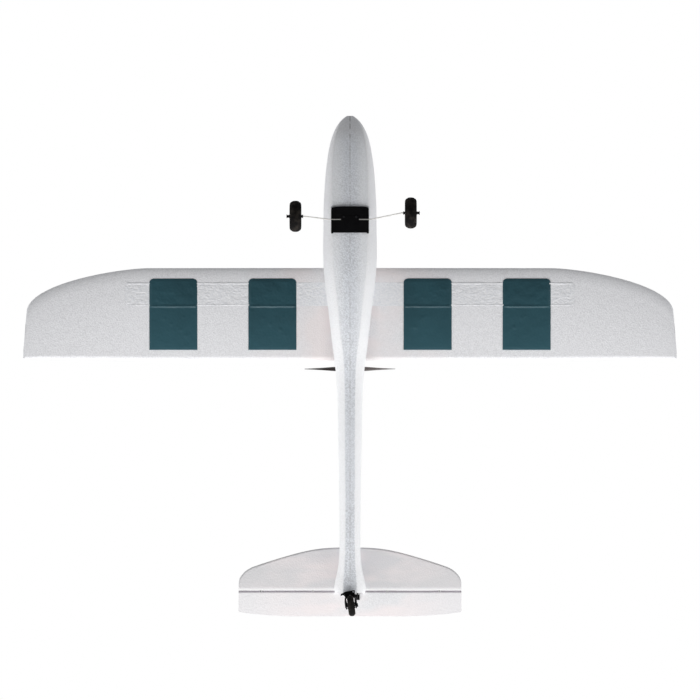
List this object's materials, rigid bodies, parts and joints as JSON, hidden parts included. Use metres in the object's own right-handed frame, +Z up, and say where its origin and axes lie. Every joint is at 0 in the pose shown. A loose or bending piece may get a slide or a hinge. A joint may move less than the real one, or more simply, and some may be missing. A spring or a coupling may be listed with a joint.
{
  "type": "rc foam airplane",
  "caption": "White foam pusher trainer aeroplane with a shoulder wing, pylon motor, slim boom, wire undercarriage, free tail wheel, hinged elevator and rudder, and servos with pushrods inside.",
  "frame": {"origin": "on the ground, under the middle of the aeroplane's bounding box", "axes": "+X along the span to port, nose towards -Y, +Z up, standing on its three wheels with the nose raised"},
  "size_m": [1.061, 0.8229, 0.2068],
  "materials": {
    "white_foam": "matte",
    "teal_film": "satin",
    "dark_film": "satin",
    "clear_tape": "satin",
    "carbon": "satin",
    "black_plastic": "satin",
    "tyre_foam": "matte",
    "spring_steel": "satin",
    "screw_steel": "satin",
    "magnet_nickel": "polished",
    "plywood": "matte",
    "battery_wrap": "satin",
    "strap_fabric": "matte",
    "receiver_case": "matte",
    "heat_shrink": "satin",
    "servo_case": "satin",
    "white_nylon": "satin",
    "motor_core": "satin",
    "motor_can": "satin",
    "prop_plastic": "satin",
    "bare_aluminium": "satin"
  },
  "bodies": {
    "root": {"fuselage_left": "white_foam", "fuselage_right": "white_foam", "wing_left": "white_foam", "wing_right": "white_foam", "wing_spars": "carbon", "wing_joiner": "spring_steel", "spar_cover_left": "clear_tape", "spar_cover_right": "clear_tape", "decals_left": "teal_film", "decals_right": "teal_film", "stabiliser": "white_foam", "vertical_fin": "white_foam", "elevator_hinge_eyes": "white_nylon", "rudder_hinge_eyes": "white_nylon", "gear_plate": "black_plastic", "gear_clamp": "black_plastic", "gear_screws": "screw_steel", "gear_wire": "spring_steel", "wheel_collars": "black_plastic", "tailwheel_bracket": "black_plastic", "tailwheel_pin": "spring_steel", "motor_mount": "bare_aluminium", "motor_stator": "motor_core", "motor_screws": "screw_steel", "battery_tray": "plywood", "battery": "battery_wrap", "battery_strap": "strap_fabric", "receiver": "receiver_case", "speed_controller": "heat_shrink", "servo_tray": "plywood", "elevator_servo": "servo_case", "rudder_servo": "servo_case", "servo_screws": "screw_steel"},
    "hatch": {"canopy_hatch": "white_foam", "canopy_glazing": "dark_film", "hatch_magnets": "magnet_nickel"},
    "elevator": {"elevator": "white_foam", "elevator_hinge_pins": "spring_steel", "elevator_horn": "black_plastic"},
    "rudder": {"rudder": "white_foam", "rudder_hinge_pins": "spring_steel", "rudder_horn": "black_plastic"},
    "left_wheel": {"left_tyre": "tyre_foam", "left_hub": "black_plastic"},
    "right_wheel": {"right_tyre": "tyre_foam", "right_hub": "black_plastic"},
    "tail_fork": {"tailwheel_fork": "black_plastic", "tailwheel_axle": "black_plastic"},
    "tail_wheel": {"tail_tyre": "tyre_foam", "tail_hub": "black_plastic"},
    "propeller": {"propeller": "prop_plastic", "prop_adapter": "bare_aluminium", "prop_nut": "bare_aluminium", "motor_bell": "motor_can"},
    "elevator_arm": {"elevator_servo_arm": "white_nylon"},
    "elevator_rod": {"elevator_pushrod": "spring_steel"},
    "rudder_arm": {"rudder_servo_arm": "white_nylon"},
    "rudder_rod": {"rudder_pushrod": "spring_steel"}
  },
  "joints": [
    {"name": "prop_spin", "type": "hinge", "parent": "root", "child": "propeller", "pos_m": [0, 0.00777, 0.18264], "axis": [0, 0.9908, -0.1353], "continuous": true},
    {"name": "left_wheel_spin", "type": "hinge", "parent": "root", "child": "left_wheel", "pos_m": [0.0975, -0.26689, 0.025], "axis": [1, 0, 0], "continuous": true},
    {"name": "right_wheel_spin", "type": "hinge", "parent": "root", "child": "right_wheel", "pos_m": [-0.0875, -0.26144, 0.025], "axis": [1, 0, 0], "continuous": true},
    {"name": "tailwheel_swivel", "type": "hinge", "parent": "root", "child": "tail_fork", "pos_m": [0, 0.35828, 0.03989], "axis": [0, 0.1353, 0.9908], "range_deg": [-40, 40]},
    {"name": "tailwheel_spin", "type": "hinge", "parent": "tail_fork", "child": "tail_wheel", "pos_m": [0.00188, 0.37058, 0.01702], "axis": [0.9925, -0.1207, 0.0165], "continuous": true},
    {"name": "elevator_hinge", "type": "hinge", "parent": "root", "child": "elevator", "pos_m": [0, 0.3585, 0.06812], "axis": [1, 0, 0], "range_deg": [-25, 25]},
    {"name": "rudder_hinge", "type": "hinge", "parent": "root", "child": "rudder", "pos_m": [0, 0.36743, 0.13351], "axis": [0, 0.1353, 0.9908], "range_deg": [-25, 25]},
    {"name": "elevator_servo_turn", "type": "hinge", "parent": "root", "child": "elevator_arm", "pos_m": [0.005, -0.16843, 0.11184], "axis": [1, 0, 0], "range_deg": [-25, 25]},
    {"name": "elevator_rod_hook", "type": "hinge", "parent": "elevator_arm", "child": "elevator_rod", "pos_m": [0.005, -0.16978, 0.10193], "axis": [1, 0, 0], "range_deg": [-25, 25]},
    {"name": "rudder_servo_turn", "type": "hinge", "parent": "root", "child": "rudder_arm", "pos_m": [-0.005, -0.13461, 0.10823], "axis": [0, 0.1353, 0.9908], "range_deg": [-25, 25]},
    {"name": "rudder_rod_hook", "type": "hinge", "parent": "rudder_arm", "child": "rudder_rod", "pos_m": [-0.015, -0.13461, 0.10823], "axis": [0, 0.1353, 0.9908], "range_deg": [-25, 25]},
    {"name": "hatch_lift", "type": "slide", "parent": "root", "child": "hatch", "axis": [0, 0.1353, 0.9908], "range_m": [0, 0.06]}
  ],
  "couplings": [
    {"joint": "elevator_servo_turn", "follows": "elevator_hinge", "ratio": 1},
    {"joint": "elevator_rod_hook", "follows": "elevator_hinge", "ratio": -1},
    {"joint": "rudder_servo_turn", "follows": "rudder_hinge", "ratio": 1},
    {"joint": "rudder_rod_hook", "follows": "rudder_hinge", "ratio": -1}
  ]
}
